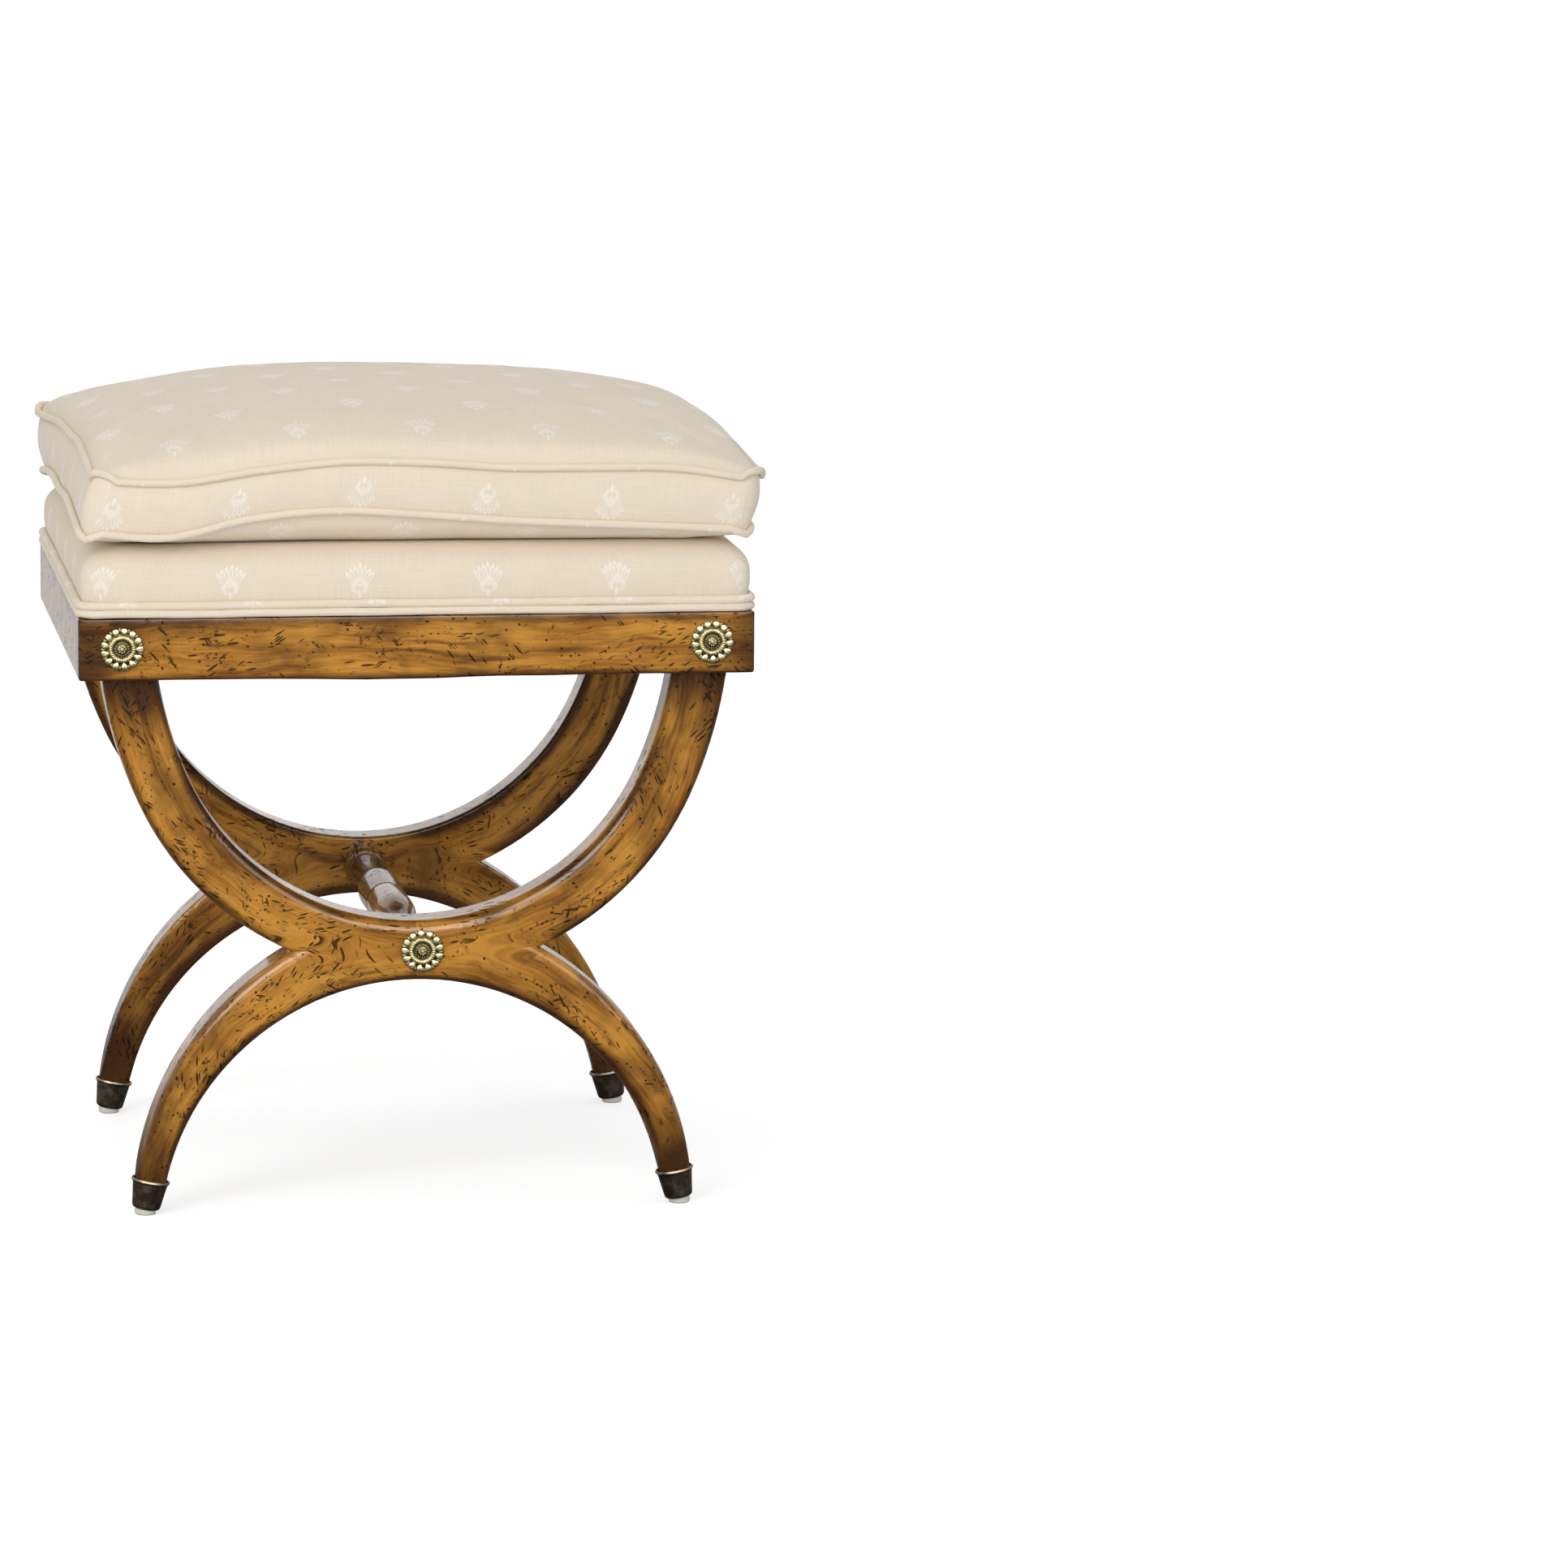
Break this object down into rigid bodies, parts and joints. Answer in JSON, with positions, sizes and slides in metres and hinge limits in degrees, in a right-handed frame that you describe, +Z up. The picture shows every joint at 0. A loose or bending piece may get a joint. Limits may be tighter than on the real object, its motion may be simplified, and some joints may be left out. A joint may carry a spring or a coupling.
{
  "type": "x frame stool",
  "caption": "Low curule stool: two curved X frames with a turned stretcher carry a rail box, a fixed seat pad and a loose piped box cushion.",
  "frame": {"origin": "on the floor, under the middle of the stool", "axes": "+Z up, +X to the right across the X frames, -Y towards the front"},
  "size_m": [0.474, 0.4428, 0.565],
  "materials": {
    "wood": "distressed honey-brown walnut under a gloss lacquer",
    "inner_wood": "plain sawn beech",
    "plywood": "unfinished plywood",
    "bronze": "dark aged bronze",
    "glide_nylon": "pale moulded glide",
    "brass": "antique brass",
    "steel": "plain steel",
    "foam": "upholstery filling in a light casing",
    "fabric": "ivory woven cloth with small satin fan sprigs",
    "cord": "the same cloth over cord",
    "lining": "black spun-bonded lining",
    "zip_tape": "ivory zip tape and coil",
    "zip_metal": "satin nickelled brass"
  },
  "bodies": {
    "stool": {"arm_screws": "steel", "corner_block_front_left": "inner_wood", "corner_block_front_right": "inner_wood", "corner_block_rear_left": "inner_wood", "corner_block_rear_right": "inner_wood", "corner_block_screws": "steel", "deck_screws": "steel", "double_welt": "cord", "dust_cover": "lining", "dust_cover_tacks": "steel", "ferrule_front_left": "bronze", "ferrule_front_right": "bronze", "ferrule_rear_left": "bronze", "ferrule_rear_right": "bronze", "frame_front_left": "wood", "frame_front_right": "wood", "frame_rear_left": "wood", "frame_rear_right": "wood", "glide_front_left": "glide_nylon", "glide_front_right": "glide_nylon", "glide_nails": "steel", "glide_rear_left": "glide_nylon", "glide_rear_right": "glide_nylon", "rail_front": "wood", "rail_left": "wood", "rail_rear": "wood", "rail_right": "wood", "rosette_front_left": "brass", "rosette_front_middle": "brass", "rosette_front_right": "brass", "rosette_pins": "steel", "rosette_rear_left": "brass", "rosette_rear_middle": "brass", "rosette_rear_right": "brass", "seam_dowels": "inner_wood", "seat_cover": "fabric", "seat_deck": "plywood", "seat_foam": "foam", "stretcher": "wood"},
    "cushion": {"cushion_insert": "foam", "cushion_cover": "fabric", "cushion_piping_lower": "cord", "cushion_piping_upper": "cord", "cushion_zip": "zip_tape"},
    "zip_slider": {"zip_slider": "zip_metal"},
    "zip_pull": {"zip_pull": "zip_metal"}
  },
  "joints": [
    {"name": "cushion_lift", "type": "slide", "parent": "stool", "child": "cushion", "axis": [0, 0, 1], "range_m": [0, 0.25]},
    {"name": "zip_run", "type": "slide", "parent": "cushion", "child": "zip_slider", "axis": [1, 0, 0], "range_m": [0, 0.35]},
    {"name": "pull_swing", "type": "hinge", "parent": "zip_slider", "child": "zip_pull", "pos_m": [-0.1752, 0.2222, 0.504], "axis": [0, 0, 1], "range_deg": [0, 175]}
  ]
}
